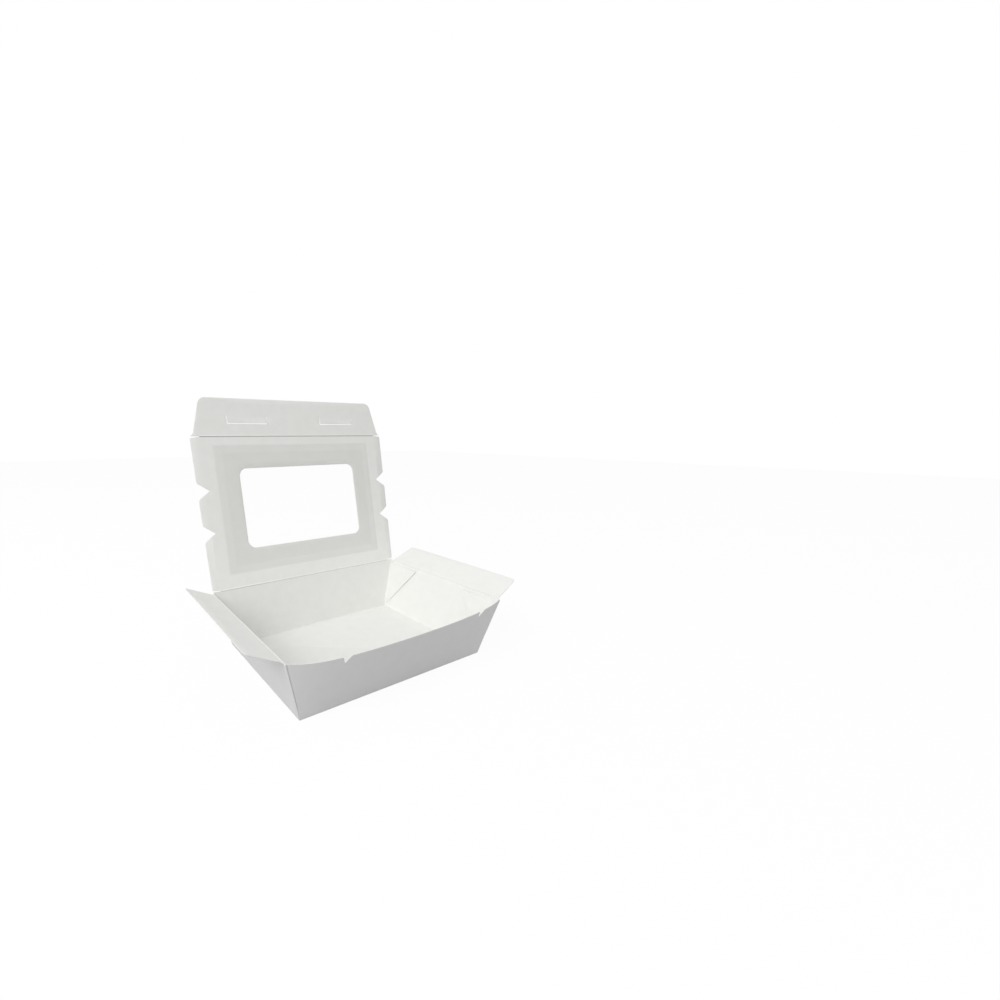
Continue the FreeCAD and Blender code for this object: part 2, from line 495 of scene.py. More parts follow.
def quad(bm: bmesh.types.BMesh, skin: Skin, *corners: bmesh.types.BMVert) -> None:
    """Add a face with four corners and say which surface it belongs to."""
    bm.faces.new(corners).material_index = skin.value


def mark_sharp(bm: bmesh.types.BMesh, degrees: float) -> None:
    """Shade a mesh smooth, but for edges that turn sharply or part a cut edge from a face of the board.

    Args:
        bm: The mesh being built.
        degrees: The turn from which an edge is sharp.
    """
    for face in bm.faces:
        face.smooth = True
    limit = math.radians(degrees)
    for edge in bm.edges:
        cut = [face.material_index == Skin.CUT.value for face in edge.link_faces]
        one_skin = all(cut) or not any(cut)
        edge.smooth = one_skin and len(edge.link_faces) == 2 and edge.calc_face_angle() < limit


@dataclass
class Sheet:
    """A panel cut from thin sheet, which may be curled a little.

    The joins are the places, sideways from the middle and away from the root, where an edge meets a crease.
    """

    outline: list[Point]
    thickness: float = BOARD
    holes: list[list[Point]] = field(default_factory=list)
    low: float | None = None
    cell: float = 7.0 * MILLIMETRE
    rounding: float = 0.07 * MILLIMETRE
    curl: Callable[[float, float], float] | None = None
    side_joins: tuple[float, ...] = ()
    root_joins: tuple[float, ...] = ()
    inside_up: bool = True
    round_turn: float = 60.0
    sharp_turn: float = 30.0
    skin_slope: float = 0.9
    grid_tolerance: float = 1e-7

    def piece(self, name: str, plane: Plane) -> bpy.types.Object:
        """Cut the panel and put it into its place.

        Args:
            name: The new object's name.
            plane: Where the panel lies; its outline is drawn in that plane.

        Returns:
            The panel.
        """
        bm = bmesh.new()
        for loop in [self.outline, *self.holes]:
            corners = [bm.verts.new((x, y, 0.0)) for x, y in loop]
            for number, corner in enumerate(corners):
                bm.edges.new((corners[number - 1], corner))
        bmesh.ops.triangle_fill(bm, use_beauty=True, use_dissolve=False, normal=(0, 0, 1), edges=bm.edges[:])
        if self.curl is not None:
            self._divide(bm)
        self._thicken(bm)
        if self.rounding > 0:
            self._round_edges(bm)
        self._mark_skins(bm)
        mark_sharp(bm, self.sharp_turn)
        for corner in bm.verts:
            x, y, z = corner.co
            lift = self.curl(x, y) if self.curl is not None else 0.0
            corner.co = plane.point(x, y, z + lift)
        return linked(bm, name)

    def _divide(self, bm: bmesh.types.BMesh) -> None:
        """Cut the flat panel by a grid, so that it can curl.

        Args:
            bm: The mesh being built.
        """
        for axis, normal in enumerate((Vector((1, 0, 0)), Vector((0, 1, 0)))):
            places = [corner.co[axis] for corner in bm.verts]
            low, high = min(places), max(places)
            cells = max(1, round((high - low) / self.cell))
            for number in range(1, cells):
                cut = normal * (low + (high - low) * number / cells)
                bmesh.ops.bisect_plane(bm, geom=bm.verts[:] + bm.edges[:] + bm.faces[:],
                                       dist=self.grid_tolerance, plane_co=cut, plane_no=normal)

    def _thicken(self, bm: bmesh.types.BMesh) -> None:
        """Give the flat panel its thickness.

        Args:
            bm: The mesh being built.
        """
        bottom = -self.thickness / 2 if self.low is None else self.low
        for corner in bm.verts:
            corner.co.z = bottom
        made = bmesh.ops.extrude_face_region(bm, geom=bm.faces[:])
        for item in made["geom"]:
            if isinstance(item, bmesh.types.BMVert):
                item.co.z = bottom + self.thickness
        bmesh.ops.recalc_face_normals(bm, faces=bm.faces[:])

    def _joined(self, place: Vector) -> bool:
        """Whether a place on the panel's edge meets a crease."""
        return (any(abs(abs(place.x) - join) < HAIR for join in self.side_joins)
                or any(abs(place.y - join) < HAIR for join in self.root_joins))

    def _round_edges(self, bm: bmesh.types.BMesh) -> None:
        """Take the sharpness off the cut edges, apart from those that meet a crease.

        Args:
            bm: The mesh being built.
        """
        chosen = []
        for edge in bm.edges:
            if len(edge.link_faces) != 2 or edge.calc_face_angle() < math.radians(self.round_turn):
                continue
            ends = [corner.co for corner in edge.verts]
            upright = abs(ends[0].z - ends[1].z) > self.thickness / 2
            if not upright and not all(self._joined(end) for end in ends):
                chosen.append(edge)
        bmesh.ops.bevel(bm, geom=chosen, offset=self.rounding, segments=2, affect="EDGES",
                        profile=0.5, clamp_overlap=True)

    def _mark_skins(self, bm: bmesh.types.BMesh) -> None:
        """Say which surface of the board each face belongs to.

        Args:
            bm: The mesh being built.
        """
        bm.normal_update()
        for face in bm.faces:
            height = face.normal.z if self.inside_up else -face.normal.z
            skin = Skin.INSIDE if height > 0 else Skin.OUTSIDE
            face.material_index = (skin if abs(height) > self.skin_slope else Skin.CUT).value


@dataclass(frozen=True)
class Bead:
    """The raised ridge of a crease, and a painted shade line beside it: a darker colour standing for the shadow
    in the crease's groove.

    Crest, spread and the band of painted shade are shares of the way across the crease.
    """

    height: float
    crest: float = 0.52
    spread: float = 0.2
    pressed: Point = (0.0, 0.0)
    outer_share: float = 0.7

    def ridge(self, share: float) -> float:
        """How high the ridge stands at a share of the way across."""
        return self.height * math.exp(-((share - self.crest) / self.spread) ** 2)


@dataclass
class Crease:
    """The creased strip of board that joins two panels and bends between them."""

    name: str
    parent: str
    child: str
    corner: Vector
    along: Vector
    parent_way: Vector
    child_way: Vector
    parent_span: Point
    child_span: Point
    bead: Bead
    parent_reach: float = 0.6 * MILLIMETRE
    child_reach: float = 0.6 * MILLIMETRE
    inside_up: bool = True
    steps: int = 18
    runs: int = 24
    sharp_turn: float = 50.0

    def piece(self, finishes: Finishes) -> bpy.types.Object:
        """Build the strip, bent between its two panels.

        Args:
            finishes: The finishes of the board.

        Returns:
            The strip.
        """
        start = self.corner + self.parent_way * self.parent_reach
        end = self.corner + self.child_way * self.child_reach
        bm = bmesh.new()
        upper: list[Verts] = []
        lower: list[Verts] = []
        for step in range(self.steps + 1):
            share = step / self.steps
            spot = start * (1 - share) ** 2 + self.corner * (2 * share * (1 - share)) + end * share ** 2
            way = ((self.corner - start) * (1 - share) + (end - self.corner) * share).normalized()
            inner = self.along.cross(way) * (1 if self.inside_up else -1)
            ridge = self.bead.ridge(share)
            low, high = (between(*ends, share) for ends in zip(self.parent_span, self.child_span))
            places = [spot + self.along * (low + (high - low) * run / self.runs)
                      for run in range(self.runs + 1)]
            above = inner * (BOARD / 2 + ridge)
            below = inner * (BOARD / 2 - self.bead.outer_share * ridge)
            upper.append([bm.verts.new(place + above) for place in places])
            lower.append([bm.verts.new(place - below) for place in places])
        self._skin(bm, upper, lower)
        bmesh.ops.recalc_face_normals(bm, faces=bm.faces[:])
        mark_sharp(bm, self.sharp_turn)
        piece = linked(bm, self.name)
        finishes.dress(piece)
        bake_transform(piece)
        return piece

    def _skin(self, bm: bmesh.types.BMesh, upper: list[Verts], lower: list[Verts]) -> None:
        """Close the strip's two grids of points to a solid.

        Args:
            bm: The mesh being built.
            upper: Rows of points on the inside.
            lower: Rows of points on the outside.
        """
        for skin, rows in ((Skin.INSIDE, upper), (Skin.OUTSIDE, lower)):
            for step, (row, following) in enumerate(zip(rows, rows[1:])):
                share = (step + 0.5) / self.steps
                # Inside faces in the bead's band take the painted shade finish, darker in place of the groove's
                # shadow.
                in_painted_shade = skin is Skin.INSIDE and self.bead.pressed[0] < share < self.bead.pressed[1]
                for run in range(self.runs):
                    quad(bm, Skin.SCORE if in_painted_shade else skin, row[run], row[run + 1],
                         following[run + 1], following[run])
        for run in (0, self.runs):
            for step in range(self.steps):
                quad(bm, Skin.CUT, upper[step][run], upper[step + 1][run],
                     lower[step + 1][run], lower[step][run])
        for step in (0, self.steps):
            for run in range(self.runs):
                quad(bm, Skin.CUT, upper[step][run], upper[step][run + 1],
                     lower[step][run + 1], lower[step][run])


@dataclass
class Station:
    """A place on the tray's folded section.

    The spot gives the middle of the board, x and y and a change of height, at a height; the facing gives
    which way the board's outer side looks there; the top is how high the board reaches.
    """

    spot: Callable[[float], Place]
    facing: Callable[[float], Point]
    top: float


@dataclass
class Tray:
    """Base, four sloping walls and four corner webs, folded from one sheet."""

    lid_half: float
    rim_length: float = 197.0 * MILLIMETRE
    rim_depth: float = 131.0 * MILLIMETRE
    base_length: float = 170.4 * MILLIMETRE
    base_depth: float = 118.0 * MILLIMETRE
    height: float = 48.5 * MILLIMETRE
    rim_drop: float = 1.3 * MILLIMETRE
    edge_drop: float = 0.3 * MILLIMETRE
    bow: float = 8.0 * MILLIMETRE
    fullness: float = 0.61
    dip: float = 2.9 * MILLIMETRE
    dip_skew: float = 0.35
    dip_power: int = 6
    fold_radius: float = 0.55 * MILLIMETRE
    web_reach: float = 36.5 * MILLIMETRE
    web_drop: float = 3.0 * MILLIMETRE
    web_tuck: float = 0.8 * MILLIMETRE
    web_lift: float = 0.25 * MILLIMETRE
    web_gap: float = 0.09 * MILLIMETRE
    web_closed: float = 1.0 * MILLIMETRE
    web_opening: float = 9.0 * MILLIMETRE
    web_shoulder: float = 0.85
    web_shares: tuple[float, ...] = (0.03, 0.07, 0.2, 0.4, 0.6, 0.8, 1.0)
    notch_places: Point = (-60.3 * MILLIMETRE, 67.2 * MILLIMETRE)
    notch_width: float = 5.6 * MILLIMETRE
    notch_depth: float = 5.4 * MILLIMETRE
    notch_lean: float = 0.9 * MILLIMETRE
    notch_toe: Point = (0.25 * MILLIMETRE, 0.2 * MILLIMETRE)
    notch_margin: float = 0.3 * MILLIMETRE
    nose_radius: float = 1.8 * MILLIMETRE
    nose_drop: float = 0.7 * MILLIMETRE
    end_inset: float = 0.95 * MILLIMETRE
    lid_reach: float = 0.95 * MILLIMETRE
    flap_reach: float = 0.6 * MILLIMETRE
    step_share: float = 0.0005
    facing_share: float = 0.02
    front_cells: int = 24
    back_cells: int = 14
    end_cells: int = 10
    turn_steps: int = 5
    web_steps: int = 6
    notch_steps: int = 5
    fold_rows: int = 7
    wall_rows: int = 12
    halvings: int = 40
    sharp_turn: float = 40.0

    def __post_init__(self) -> None:
        """Work out the slopes of the walls."""
        self.rim = self.height - self.rim_drop
        self.slope_x = (self.rim_length - self.base_length) / 2 / self.height
        self.slope_y = (self.rim_depth - self.base_depth) / 2 / self.height
        self.skin_x = BOARD * math.hypot(1, self.slope_x)
        self.skin_y = BOARD * math.hypot(1, self.slope_y)
        self.floor = BOARD / 2
        self.end_root = self.half_depth(self.rim) - self.end_inset

    def half_length(self, z: float) -> float:
        """Half the outer length at a height."""
        return self.base_length / 2 + self.slope_x * z

    def half_depth(self, z: float) -> float:
        """Half the outer depth at a height, without the front's belly."""
        return self.base_depth / 2 + self.slope_y * z

    def fold_inset(self, slope: float, z: float) -> float:
        """How far the rounded fold at the base lies inside the wall's own plane.

        Args:
            slope: The wall's lean, sideways over height.
            z: The height.

        Returns:
            The distance, which is 0 above the fold.
        """
        turn = math.atan2(1, slope)
        rise = (z - self.floor) / self.fold_radius
        angle = math.acos(max(1 - rise, -1.0)) if rise < 1 else math.pi / 2
        if angle >= turn:
            return 0.0
        tangent = self.fold_radius * math.tan(turn / 2)
        return slope * (z - self.floor) + tangent - self.fold_radius * math.sin(angle)

    def corner_x(self, z: float) -> float:
        """Where an end wall's outer face would be at a height, fold included."""
        return self.half_length(z) - self.fold_inset(self.slope_x, z)

    def corner_y(self, z: float) -> float:
        """Where a long wall's outer face would be at a height, fold included."""
        return self.half_depth(z) - self.fold_inset(self.slope_y, z)

    def spread(self, z: float) -> float:
        """How far the layers of a web have parted at a height, from 0 at the base to 1."""
        return smooth((z - self.web_closed) / self.web_opening)

    def layer(self, z: float) -> float:
        """Distance between the middles of two layers of a web at a height."""
        return (BOARD + self.web_gap) * self.spread(z) * self.skin_x / BOARD

    def web_width(self, z: float) -> float:
        """How far a web reaches along the end wall at a height."""
        width = self.web_reach * (z - self.floor) / (self.rim - self.web_drop - self.floor)
        return max(width, self.fold_start(z) + HAIR)

    def fold_start(self, z: float) -> float:
        """How far behind the long wall's face an end wall's folded edge has its centre."""
        return self.skin_y / 2 + self.layer(z) / 2 * self.spread(z)

    def inner_layer(self, z: float) -> float:
        """Distance from the end wall's face to the middle of the web's inner layer."""
        return self.skin_x / 2 + 2 * self.layer(z)

    def long_end(self, z: float) -> float:
        """Distance from the end wall's face to where a long wall starts to turn into its web."""
        return self.inner_layer(z) + self.fold_radius

    def lifted(self, z: float, share: float) -> float:
        """How far a web stands off the end wall at a share of its width."""
        return self.web_lift * share * share * self.spread(z) * z / self.rim

    def wall_turn(self, z: float, angle: float) -> Point:
        """Where the board lies as a long wall turns into its web."""
        return (self.inner_layer(z) + self.fold_radius * (1 - math.sin(angle)),
                self.skin_y / 2 + self.fold_radius * (1 - math.cos(angle)))

    def web_inside(self, z: float, share: float) -> Point:
        """Where the web's inner layer lies at a share of its width."""
        start = self.skin_y / 2 + self.fold_radius
        return (self.inner_layer(z) + self.lifted(z, share),
                start + share * max(self.web_width(z) - start, 0.0))

    def web_edge(self, z: float, angle: float) -> Point:
        """Where the board lies as the web turns back on itself."""
        start, half = self.skin_y / 2 + self.fold_radius, self.layer(z) / 2
        return (self.inner_layer(z) - half * (1 - math.cos(angle)) + self.lifted(z, 1.0),
                max(self.web_width(z), start) + half * math.sin(angle))

    def web_outside(self, z: float, share: float) -> Point:
        """Where the web's outer layer lies at a share of its width."""
        start = self.fold_start(z)
        return (self.inner_layer(z) - self.layer(z) + self.lifted(z, share),
                start + share * max(self.web_width(z) - start, 0.0))

    def end_turn(self, z: float, angle: float) -> Point:
        """Where the board lies as the web turns into the end wall."""
        half = self.layer(z) / 2
        return self.skin_x / 2 + half * (1 + math.cos(angle)), self.fold_start(z) - half * math.sin(angle)

    def corner(self, side: int, end: int) -> list[Station]:
        """The folds at one corner, from the long wall to the end wall.

        Args:
            side: 1 at the right end, -1 at the left.
            end: 1 at the back, -1 at the front.

        Returns:
            The stations in order.
        """
        long_top = self.height if end > 0 else self.rim
        web_top = self.rim - self.web_drop
        web = [(share, web_top) for share in self.web_shares]
        web[0] = (self.web_shares[0], between(long_top, web_top, self.web_shoulder))
        stations: list[Station] = []

        def add(local: Callable[[float, float], Point], value: float, facing: Point, top: float) -> None:
            """Add a station given by its distances in from the two outer faces.

            Args:
                local: Gives those distances at a height and a value.
                value: The angle or share that the station stands for.
                facing: Which way the outer side looks, in the same directions.
                top: How high the board reaches.
            """

            def spot(z: float) -> Place:
                """The station's place in the box's frame."""
                across, back = local(z, value)
                return side * (self.corner_x(z) - across), end * (self.corner_y(z) - back), 0.0

            look = (-side * facing[0], -end * facing[1])
            stations.append(Station(spot, lambda z: look, top))

        for angle in turn_angles(math.pi / 2, self.turn_steps):
            add(self.wall_turn, angle, (-math.sin(angle), -math.cos(angle)), long_top)
        for share, top in web:
            add(self.web_inside, share, (-1.0, 0.0), top)
        for angle in turn_angles(math.pi, self.web_steps)[1:]:
            add(self.web_edge, angle, (-math.cos(angle), -math.sin(angle)), web_top)
        for share, top in reversed(web[:-1]):
            add(self.web_outside, share, (1.0, 0.0), min(top, self.rim - self.web_tuck))
        for angle in turn_angles(math.pi, self.web_steps):
            add(self.end_turn, angle, (math.cos(angle), -math.sin(angle)), self.rim - self.edge_drop)
        return stations

    def front(self) -> list[Station]:
        """The bellied front wall with its two lock notches.

        Returns:
            The stations from left to right.
        """
        reach = self.half_length(self.rim) - self.long_end(self.rim)
        places = [(share * reach, self.rim) for share in grid(self.front_cells)]
        for steep in self.notch_places:
            start = steep - self.notch_margin
            end = steep + self.notch_width + self.nose_radius + self.notch_margin
            places = [place for place in places if not start < place[0] < end] + self.notch(steep)
        return [self.front_station(x / reach, top) for x, top in sorted(places)]

    def notch(self, steep: float) -> list[Point]:
        """A lock notch in the rim: a steep side, then a slanted one that ends in a rounded nose.

        Args:
            steep: Where its steep side stands.

        Returns:
            Places along the wall, each with the height of the rim there.
        """
        bottom = self.rim - self.notch_depth
        toe = steep + self.notch_lean
        foot = toe + self.notch_toe[0]
        slant = steep + self.notch_width
        shares = [step / self.notch_steps for step in range(1, self.notch_steps + 1)]
        places = [(steep, self.rim), (toe, bottom + self.notch_toe[1]), (foot, bottom)]
        places += [(between(foot, slant, share), between(bottom, self.rim - self.nose_drop, share))
                   for share in shares]
        places += [(slant + self.nose_radius * share, self.rim - self.nose_drop * (1 - share) ** 2)
                   for share in shares]
        return places

    def belly(self, share: float) -> float:
        """How full the front's belly is at a share of the half length.

        The wall's edge is a cubic curve, whose own parameter is found from the share by halving.

        Args:
            share: The place, from -1 at the left end to 1 at the right.

        Returns:
            The fullness, from 0 at the ends to 1.
        """
        low, high = 0.0, 1.0
        for _ in range(self.halvings):
            middle = (low + high) / 2
            left = 1 - middle
            across = middle ** 3 - left ** 3 + 3 * self.fullness * left * middle * (middle - left)
            if across < share:
                low = middle
            else:
                high = middle
        return 4 * low * (1 - low)

    def front_station(self, share: float, top: float) -> Station:
        """One station of the front wall.

        Args:
            share: Its place, from -1 at the left end to 1 at the right.
            top: How high the board reaches there, before the rim's dip.

        Returns:
            The station.
        """
        full = self.belly(share)
        left, right = max(share - self.facing_share, -1.0), min(share + self.facing_share, 1.0)
        slant = (self.belly(right) - self.belly(left)) / (right - left)
        dip = self.dip * (1 - share ** self.dip_power) * (1 - self.dip_skew * share)

        def spot(z: float) -> Place:
            """The station's place in the box's frame."""
            grown = z / self.rim
            y = self.corner_y(z) - self.skin_y / 2 + grown * self.bow * full
            return share * (self.corner_x(z) - self.long_end(z)), -y, -grown * dip

        def facing(z: float) -> Point:
            """Which way the wall's outer side looks."""
            lean = -z / self.rim * self.bow * slant / self.half_length(z)
            return lean / math.hypot(lean, 1), -1 / math.hypot(lean, 1)

        return Station(spot, facing, top)

    def creased(self, spot: Callable[[float, float], Place], facing: Point, shares: Sequence[float],
                edge: float, tops: Point) -> list[Station]:
        """A straight wall, whose top is a crease's for a part of its length.

        Args:
            spot: Gives a place on the wall from a share of its half length and a height.
            facing: Which way the wall's outer side looks.
            shares: Where the wall has its stations.
            edge: The share at which the crease ends.
            tops: How high the board reaches, at the crease and beside it.

        Returns:
            The stations in the shares' order.
        """
        limit = edge + self.step_share / 2
        return [Station(partial(spot, share), lambda z: facing, tops[abs(share) > limit]) for share in shares]

    def crease_shares(self, edge: float, cells: int) -> list[float]:
        """Rising shares along a crease, with a step just outside each of its ends."""
        return [-edge - self.step_share, *(edge * share for share in grid(cells)), edge + self.step_share]

    def back(self) -> list[Station]:
        """The back wall; the lid's crease takes over at its top.

        Returns:
            The stations from right to left.
        """
        edge = self.lid_half / (self.half_length(self.height) - self.long_end(self.height))
        shares = [1.0, *(-share for share in self.crease_shares(edge, self.back_cells)), -1.0]
        tops = (self.height - self.lid_reach / math.hypot(1, self.slope_y), self.height)

        def spot(share: float, z: float) -> Place:
            """A place on the wall, in the box's frame."""
            return share * (self.corner_x(z) - self.long_end(z)), self.corner_y(z) - self.skin_y / 2, 0.0

        return self.creased(spot, (0.0, 1.0), shares, edge, tops)

    def end(self, side: int) -> list[Station]:
        """An end wall; its flap's crease takes over at its top.

        Args:
            side: 1 at the right end, -1 at the left.

        Returns:
            The stations from front to back.
        """
        edge = self.end_root / (self.half_depth(self.rim) - self.fold_start(self.rim))
        tops = (self.rim - self.flap_reach / math.hypot(1, self.slope_x), self.rim - self.edge_drop)

        def spot(share: float, z: float) -> Place:
            """A place on the wall, in the box's frame."""
            x = side * (self.corner_x(z) - self.skin_x / 2)
            return x, share * (self.corner_y(z) - self.fold_start(z)), 0.0

        return self.creased(spot, (float(side), 0.0), self.crease_shares(edge, self.end_cells), edge, tops)

    def ring(self) -> list[Station]:
        """Every station round the tray, anticlockwise from the front's left end."""
        front = [*self.front(), *self.corner(1, -1), *self.end(1)]
        back = [*reversed(self.corner(1, 1)), *self.back(), *self.corner(-1, 1)]
        return [*front, *back, *reversed(self.end(-1)), *reversed(self.corner(-1, -1))]

    def heights(self, top: float) -> list[float]:
        """The heights of the rows of points on a wall.

        Args:
            top: How high the board reaches.

        Returns:
            The heights, from the base's fold upwards.
        """
        fold = math.atan2(1, min(self.slope_x, self.slope_y))
        rows = [self.floor + self.fold_radius * (1 - math.cos(angle))
                for angle in turn_angles(fold, self.fold_rows - 1)]
        start = rows[-1]
        for number in range(1, self.wall_rows + 1):
            share = number / self.wall_rows
            rows.append(between(start, top, (share + smooth(share)) / 2))
        return rows

    def piece(self, finishes: Finishes) -> bpy.types.Object:
        """Fold the tray.

        Args:
            finishes: The finishes of the board.

        Returns:
            The tray.
        """
        bm = bmesh.new()
        outer: list[Verts] = []
        inner: list[Verts] = []
        for station in self.ring():
            board = [self.board_at(station, z) for z in self.heights(station.top)]
            outer.append([bm.verts.new(middle + normal * (BOARD / 2)) for middle, normal in board])
            inner.append([bm.verts.new(middle - normal * (BOARD / 2)) for middle, normal in board])
        for number, (out, within) in enumerate(zip(outer, inner)):
            following = (number + 1) % len(outer)
            next_out, next_within = outer[following], inner[following]
            for row in range(len(out) - 1):
                quad(bm, Skin.OUTSIDE, out[row], next_out[row], next_out[row + 1], out[row + 1])
                quad(bm, Skin.INSIDE, within[row], within[row + 1], next_within[row + 1], next_within[row])
            quad(bm, Skin.CUT, out[-1], next_out[-1], next_within[-1], within[-1])
        quad(bm, Skin.INSIDE, *(column[0] for column in inner))
        quad(bm, Skin.OUTSIDE, *(column[0] for column in reversed(outer)))
        bmesh.ops.remove_doubles(bm, verts=bm.verts[:], dist=MERGE_DISTANCE)
        bmesh.ops.dissolve_degenerate(bm, dist=MERGE_DISTANCE, edges=bm.edges[:])
        mark_sharp(bm, self.sharp_turn)
        piece = linked(bm, "folded_tray")
        finishes.dress(piece)
        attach(piece, "tray")
        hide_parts("tray")
        return piece

    def board_at(self, station: Station, z: float) -> tuple[Vector, Vector]:
        """The middle of the board and its outward normal.

        Args:
            station: The station.
            z: The height on the wall.

        Returns:
            The point and the unit normal.
        """
        low, high = max(z - HAIR, self.floor), z + HAIR
        x, y, drop = station.spot(z)
        face_x, face_y = station.facing(z)
        below, above = (Vector((*station.spot(height)[:2], height + station.spot(height)[2]))
                        for height in (low, high))
        level = Vector((-face_y, face_x, 0.0))
        return Vector((x, y, z + drop)), level.cross(above - below).normalized()


@dataclass
class Lid:
    """The lid with its window, six side tabs and tuck flap."""

    hinge: Vector
    front: Vector
    half_width: float = 98.2 * MILLIMETRE
    tab_width: float = 7.0 * MILLIMETRE
    tab_flare: float = 0.75 * MILLIMETRE
    flare_rear: float = -0.75
    tab_corner: float = 2.6 * MILLIMETRE
    tab_end_corner: float = 0.4 * MILLIMETRE
    tab_rear_gap: float = 0.45 * MILLIMETRE
    tab_rear_slant: float = 0.7 * MILLIMETRE
    tab_front_gap: float = 0.36 * MILLIMETRE
    tab_front_slant: float = 1.1 * MILLIMETRE
    tab_runs: int = 6
    vee_places: Point = (48.6 * MILLIMETRE, 84.2 * MILLIMETRE)
    vee_mouth: float = 14.0 * MILLIMETRE
    vee_depth: float = 9.9 * MILLIMETRE
    window_length: float = 120.0 * MILLIMETRE
    window_height: float = 69.4 * MILLIMETRE
    window_start: float = 32.2 * MILLIMETRE
    window_corner: float = 7.0 * MILLIMETRE
    film_side: float = 21.0 * MILLIMETRE
    film_ends: float = 20.7 * MILLIMETRE
    film_corner: float = 0.8 * MILLIMETRE
    film_thickness: float = 0.10 * MILLIMETRE
    tuck_length: float = 31.8 * MILLIMETRE
    tuck_root: float = 99.2 * MILLIMETRE
    tuck_ear: Point = (96.8 * MILLIMETRE, 1.1 * MILLIMETRE)
    tuck_hip: Point = (95.6 * MILLIMETRE, 2.8 * MILLIMETRE)
    tuck_tip: float = 87.6 * MILLIMETRE
    tuck_radii: tuple[float, ...] = (
        0.3 * MILLIMETRE, 0.5 * MILLIMETRE, 3.0 * MILLIMETRE, 7.0 * MILLIMETRE)
    tuck_tilt: float = 2.0
    tuck_bend: float = 0.5 * MILLIMETRE
    tuck_cell: float = 5.0 * MILLIMETRE
    slit_inner: float = 27.3 * MILLIMETRE
    slit_outer: float = 65.8 * MILLIMETRE
    slit_width: float = 0.6 * MILLIMETRE
    slit_offset: float = 10.3 * MILLIMETRE
    slit_leg: float = 6.6 * MILLIMETRE
    slit_corner: float = 1.5 * MILLIMETRE
    slit_lift: float = 0.7 * MILLIMETRE
    slit_ease: float = 2.5
    crease_reach: float = 0.95 * MILLIMETRE
    tab_reach: float = 0.6 * MILLIMETRE
    cut_gap: float = 0.12 * MILLIMETRE
    bow: float = -0.5 * MILLIMETRE
    # The last pair of each bead bounds its band of painted shade along the crease.
    rear_bead: Bead = Bead(0.44 * MILLIMETRE, 0.58, 0.22, (0.2, 0.33))
    front_bead: Bead = Bead(0.34 * MILLIMETRE, 0.60, 0.22, (0.15, 0.54))
    tab_bead: Bead = Bead(0.015 * MILLIMETRE)

    def __post_init__(self) -> None:
        """Work out the lid's own plane."""
        self.length = (self.front - self.hinge).length
        self.away = (self.front - self.hinge).normalized()
        self.plane = Plane(self.hinge, ACROSS, self.away)
        self.fold = self.half_width - self.tab_width
        self.edge = self.fold - self.tab_reach

    def vee_half(self, x: float) -> float:
        """Half the width of a side notch at a distance from the lid's middle."""
        return self.vee_mouth / 2 * (x - (self.half_width - self.vee_depth)) / self.vee_depth

    def flare(self, y: float) -> float:
        """How much wider than its mean half width the lid is at a distance from its hinge."""
        return self.tab_flare * between(self.flare_rear, 1.0, y / self.length)

    def sag(self, x: float, y: float) -> float:
        """How far the lid bows out of its plane, nothing at its creases."""
        across = max(1 - (x / self.fold) ** 2, 0.0)
        share = min(max(y / self.length, 0.0), 1.0)
        return self.bow * across * 4 * share * (1 - share)

    def panel(self, finishes: Finishes) -> bpy.types.Object:
        """The lid between its creases, with the window and the tips of the side notches.

        Args:
            finishes: The finishes of the board.

        Returns:
            The panel.
        """
        low, high = self.crease_reach, self.length - self.crease_reach
        half_vee = self.vee_half(self.edge)
        right = [(self.edge, low)]
        for place in self.vee_places:
            right += [(self.edge, place - half_vee), (self.half_width - self.vee_depth, place),
                      (self.edge, place + half_vee)]
        right.append((self.edge, high))
        outline = right + [(-x, y) for x, y in reversed(right)]
        window = box_outline(self.window_length / 2, self.window_start, self.window_start + self.window_height,
                             self.window_corner, steps=12)
        sheet = Sheet(outline, holes=[window], curl=self.sag, side_joins=(self.edge,),
                      root_joins=(low, high))
        piece = sheet.piece("lid_board", self.plane)
        finishes.dress(piece)
        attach(piece, "lid")
        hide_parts("lid_panel")
        return piece

    def film(self) -> bpy.types.Object:
        """The clear film on the lid's inside.

        Returns:
            The film.
        """
        half = self.window_length / 2 + self.film_side
        low = self.window_start - self.film_ends
        high = self.window_start + self.window_height + self.film_ends
        outline = box_outline(half, low, high, self.film_corner, steps=3)
        sheet = Sheet(outline, self.film_thickness, low=BOARD / 2 + HAIR, curl=self.sag, rounding=0.0)
        piece = sheet.piece("clear_window", self.plane)
        finish = FilmFinish(self.plane, (low + high) / 2, (half, (high - low) / 2),
                            (self.window_length / 2, self.window_height / 2), self.window_corner)
        piece.data.materials.append(finish.material())
        for face in piece.data.polygons:
            face.material_index = 0
        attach(piece, "lid")
        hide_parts("window_film")
        return piece

